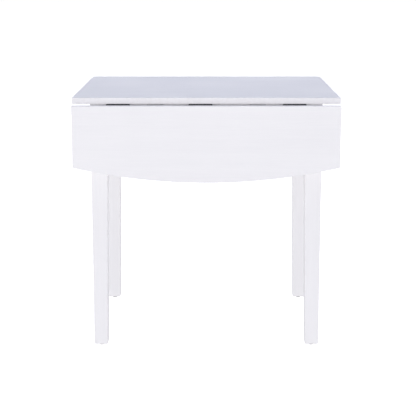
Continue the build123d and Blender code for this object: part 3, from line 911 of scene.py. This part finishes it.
def zinc(name):
    """Zinc plate: small crystals, read off the distance to the nearest cell's middle."""
    material, tree, shader = new_material(name)
    where = add(tree, "ShaderNodeTexCoord").outputs["Object"]
    crystals = add(tree, "ShaderNodeTexVoronoi", {"Vector": where, "Scale": 900}, feature="SMOOTH_F1")
    bloom = remap(tree, crystals.outputs["Distance"], 0.1, 0.7, 0.0, 1.0)
    tree.links.new(mix_colour(tree, bloom, ZINC_BRIGHT, ZINC_DULL), shader.inputs["Base Color"])
    rough = use_group(tree, mottle, {"Vector": where, "Scale": 300, "Low": 0.24, "High": 0.42})["Value"]
    tree.links.new(rough, shader.inputs["Roughness"])
    set_bump(tree, shader, bloom, 0.2, 0.03 * MM)
    shader.inputs["Metallic"].default_value = 1.0
    return material


def drawn_steel(name):
    """Scratches along Y: noise squeezed hard across the bar and drawn out along it."""
    material, tree, shader = new_material(name)
    where = add(tree, "ShaderNodeTexCoord").outputs["Object"]
    squeezed = add(tree, "ShaderNodeMapping", {"Vector": where, "Scale": (2600, 9, 2600)}).outputs["Vector"]
    lines = add(tree, "ShaderNodeTexNoise", {"Vector": squeezed, "Scale": 1, "Detail": 4}).outputs["Fac"]
    tree.links.new(mix_colour(tree, lines, STEEL_DARK, STEEL_BRIGHT), shader.inputs["Base Color"])
    tree.links.new(remap(tree, lines, 0.3, 0.7, 0.26, 0.44), shader.inputs["Roughness"])
    set_bump(tree, shader, lines, 0.25, 0.03 * MM)
    shader.inputs["Metallic"].default_value = 1.0
    shader.inputs["Anisotropic"].default_value = 0.4
    return material


black_steel = blackened("black_steel")
zinc_plate = zinc("zinc_plate")
bar_steel = drawn_steel("bar_steel")
print("metals", black_steel.name, zinc_plate.name, bar_steel.name)

# %% [markdown]
# ## Plastics
#
# The guides are moulded nylon, the finger knobs a harder black plastic, and the glides a dark grey one,
# scuffed where it meets the floor. They share one recipe: a colour that clouds a little, a fine moulded
# texture, and an edge mask that lightens the plastic where it has rubbed.


# %% Moulded plastic
def plastic(name, colour, clouded, rubbed, rough, texture, wear):
    """Three colours for the body, its clouds and its rubbed edges, a roughness, how many grains of
    texture there are in a metre, and how far the edges are worn."""
    material, tree, shader = new_material(name)
    where = add(tree, "ShaderNodeTexCoord").outputs["Object"]
    cloud = use_group(tree, mottle, {"Vector": where, "Scale": 60, "Low": 0.0, "High": 1.0})["Value"]
    worn = use_group(tree, worn_edge, {"Vector": where, "Scale": 700, "Amount": wear})["Mask"]
    body = mix_colour(tree, cloud, colour, clouded)
    tree.links.new(mix_colour(tree, worn, body, rubbed), shader.inputs["Base Color"])
    gloss = {"Vector": where, "Scale": 90, "Low": rough - 0.06, "High": rough + 0.06}
    sheen = use_group(tree, mottle, gloss)
    duller = math_node(tree, "MULTIPLY", worn, 0.2)
    tree.links.new(math_node(tree, "ADD", sheen["Value"], duller), shader.inputs["Roughness"])
    grit = use_group(tree, orange_peel, {"Vector": where, "Scale": texture})["Height"]
    set_bump(tree, shader, grit, 0.25, 0.06 * MM)
    return material


NYLON = [(0.64, 0.64, 0.66), (0.59, 0.59, 0.61), (0.72, 0.72, 0.73)]
BLACK = [(0.022, 0.022, 0.025), (0.034, 0.034, 0.037), (0.10, 0.10, 0.105)]
GREY = [(0.07, 0.07, 0.074), (0.05, 0.05, 0.053), (0.16, 0.16, 0.16)]
nylon = plastic("guide_nylon", *NYLON, rough=0.5, texture=1800, wear=0.4)
knob_black = plastic("knob_black", *BLACK, rough=0.34, texture=2400, wear=0.5)
glide_grey = plastic("glide_grey", *GREY, rough=0.55, texture=2000, wear=0.6)
print("plastics", nylon.name, knob_black.name, glide_grey.name)

# %% [markdown]
# ## Giving every piece its finish
#
# New pieces get a material of their own, and each CAD node that stays shown gets the one its name calls
# for. The grain direction depends on how the piece was cut: the long aprons run along X and the short
# ones along Y. A node takes the first finish in the list whose start of a name it has, and what is left
# over is zinc plated.


# %% Finishes by piece
def dress(piece, material):
    """Gives a piece one material and no other."""
    piece.data.materials.clear()
    piece.data.materials.append(material)


FINISH_BY_GROUP = [
    ([top, *leaves], lacquer_along_x),
    (legs, lacquer_along_z),
    (glides, glide_grey),
    (knobs, knob_black),
    (pins, black_steel),
    (fixings, zinc_plate),
]
for pieces, material in FINISH_BY_GROUP:
    for piece in pieces:
        dress(piece, material)

FINISH_BY_NAME = [
    ("apron_front", lacquer_along_x),
    ("apron_back", lacquer_along_x),
    ("apron_left", lacquer_along_y),
    ("apron_right", lacquer_along_y),
    ("centre_rail", hardwood_along_x),
    ("corner_block_back_left", hardwood_rising),
    ("corner_block_front_right", hardwood_rising),
    ("corner_block", hardwood_falling),
    ("apron_dowels", hardwood_along_y),
    ("rail_dowels", hardwood_along_x),
    ("hinge_", black_steel),
    ("support_bar", bar_steel),
    ("support_guide", nylon),
    ("", zinc_plate),
]
for name, node in frame["nodes"].items():
    if not node.hide_render:
        dress(node, next(material for start, material in FINISH_BY_NAME if name.startswith(start)))
print("CAD nodes shown", sum(not node.hide_render for node in frame["nodes"].values()))

# %% [markdown]
# ## Floor, light and camera
#
# The table stands in a high-key studio: a pale floor, a pale surround, and soft light from every side
# that is strongest from the front. Light from above is a little cooler and weaker than light from the
# front, so the top reads as a separate plane from the white edges. Large lamps keep every shadow soft,
# and the front one is far away, so the back legs are nearly as bright as the front ones.
#
# The camera stands in front of the table and a little above it, and looks gently down.


# %% The studio floor
FLOOR_HALF = 30.0  # half of the floor's side, in metres
FLOOR_COLOUR = (0.60, 0.60, 0.60, 1)
FLOOR_LIGHT = 0.50  # light that the floor sends up at the table
CAMERA_GLOW = 0.42  # more light that only the camera sees
PURE_WHITE = (1, 1, 1, 1)


def make_floor():
    """One large square at the lowest point of the table. It is white to the camera from above and clear from
    below, so that the underside of the table can be seen."""
    corners = np.array([(-1, -1, 0), (1, -1, 0), (1, 1, 0), (-1, 1, 0)]) * FLOOR_HALF + [0, 0, cad_low.z]
    mesh = bpy.data.meshes.new("floor")
    mesh.from_pydata(corners.tolist(), [], [(0, 1, 2, 3)])
    floor = bpy.data.objects.new("floor", mesh)
    bpy.context.scene.collection.objects.link(floor)
    floor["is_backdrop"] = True
    material, tree, shader = new_material("pale_floor")
    where = add(tree, "ShaderNodeTexCoord").outputs["Object"]
    rough = use_group(tree, mottle, {"Vector": where, "Scale": 3, "Low": 0.72, "High": 0.85})["Value"]
    tree.links.new(rough, shader.inputs["Roughness"])
    shader.inputs["Base Color"].default_value = FLOOR_COLOUR
    shader.inputs["Specular IOR Level"].default_value = 0.1
    shader.inputs["Emission Color"].default_value = PURE_WHITE
    shader.inputs["Emission Strength"].default_value = FLOOR_LIGHT
    glow = add(tree, "ShaderNodeEmission", {"Color": PURE_WHITE, "Strength": CAMERA_GLOW}).outputs[0]
    seen = add(tree, "ShaderNodeLightPath").outputs["Is Camera Ray"]
    lit = add(tree, "ShaderNodeMixShader", {0: seen, 2: glow}).outputs[0]
    both = add(tree, "ShaderNodeAddShader", {0: shader.outputs[0], 1: lit}).outputs[0]
    clear = add(tree, "ShaderNodeBsdfTransparent").outputs[0]
    below = add(tree, "ShaderNodeNewGeometry").outputs["Backfacing"]
    one_sided = add(tree, "ShaderNodeMixShader", {0: below, 1: both, 2: clear}).outputs[0]
    out = next(node for node in tree.nodes if node.type == "OUTPUT_MATERIAL")
    tree.links.new(one_sided, out.inputs["Surface"])
    dress(floor, material)


make_floor()
print("floor at", round(cad_low.z, 4))


# %% The studio lamps
WARM = (1.0, 0.975, 0.94)
NEUTRAL = (1.0, 0.985, 0.96)
COOL = (0.845, 0.88, 1.0)


def make_lamp(name, place, target, size, watts, colour):
    """A soft box at a place, facing a target."""
    data = bpy.data.lights.new(name, "AREA")
    data.shape = "RECTANGLE"
    data.size, data.size_y = size
    data.energy = watts
    data.color = colour
    lamp = bpy.data.objects.new(name, data)
    lamp.location = place
    lamp.rotation_euler = (Vector(target) - Vector(place)).to_track_quat("-Z", "Y").to_euler()
    lamp.visible_camera = False
    bpy.context.scene.collection.objects.link(lamp)


def make_surround():
    """Cool soft light from all round, behind a white backdrop."""
    world = bpy.data.worlds.new("surround")
    world.use_nodes = True
    tree = world.node_tree
    tree.nodes.clear()
    light = add(tree, "ShaderNodeBackground", {"Color": (0.70, 0.73, 0.86, 1), "Strength": 0.46})
    backdrop = add(tree, "ShaderNodeBackground", {"Color": PURE_WHITE, "Strength": 1.0})
    seen = add(tree, "ShaderNodeLightPath").outputs["Is Camera Ray"]
    both = add(tree, "ShaderNodeMixShader", {0: seen, 1: light.outputs[0], 2: backdrop.outputs[0]})
    add(tree, "ShaderNodeOutputWorld", {"Surface": both.outputs[0]})
    bpy.context.scene.world = world


middle = (cad_low + cad_high) / 2
make_surround()
make_lamp("front_box", (-1.5, -20.0, 2.0), middle, (17.0, 3.6), 1780, WARM)
make_lamp("back_box", (0.4, 5.0, 0.70), middle, (5.0, 1.2), 80, NEUTRAL)
make_lamp("left_box", (-5.0, -0.4, 0.70), middle, (4.0, 1.4), 60, NEUTRAL)
make_lamp("right_box", (5.0, 0.4, 0.70), middle, (4.0, 1.4), 54, NEUTRAL)
make_lamp("top_box", (0.0, 0.2, 3.6), middle, (3.0, 3.0), 55, COOL)
print("lamps", sorted(lamp.name for lamp in bpy.data.lights))

# %% The camera
CAMERA_PLACE = (0.005, -3.474, 1.123)
CAMERA_PITCH = 11.05  # degrees below level
LENS = 97.4  # millimetres
SENSOR = 36  # millimetres
RISE = -0.06  # how far the lens is shifted, as a share of the frame

camera_data = bpy.data.cameras.new("camera")
camera_data.sensor_width = SENSOR
camera_data.lens = LENS
camera_data.shift_y = RISE
camera = bpy.data.objects.new("camera", camera_data)
camera.location = CAMERA_PLACE
camera.rotation_euler = (math.radians(90 - CAMERA_PITCH), 0, 0)
bpy.context.scene.collection.objects.link(camera)
bpy.context.scene.camera = camera
bpy.context.scene.view_settings.view_transform = "Standard"
print("camera at", tuple(round(c, 3) for c in camera.location))

# %% [markdown]
# ## The last measure
#
# The dressed table's size is printed, to set beside the CAD size printed at the start.
# The dressed table must be as large as the CAD one.

# %% Finish
low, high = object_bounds()
print("visual size in metres", [round(b - a, 4) for a, b in zip(low, high)])
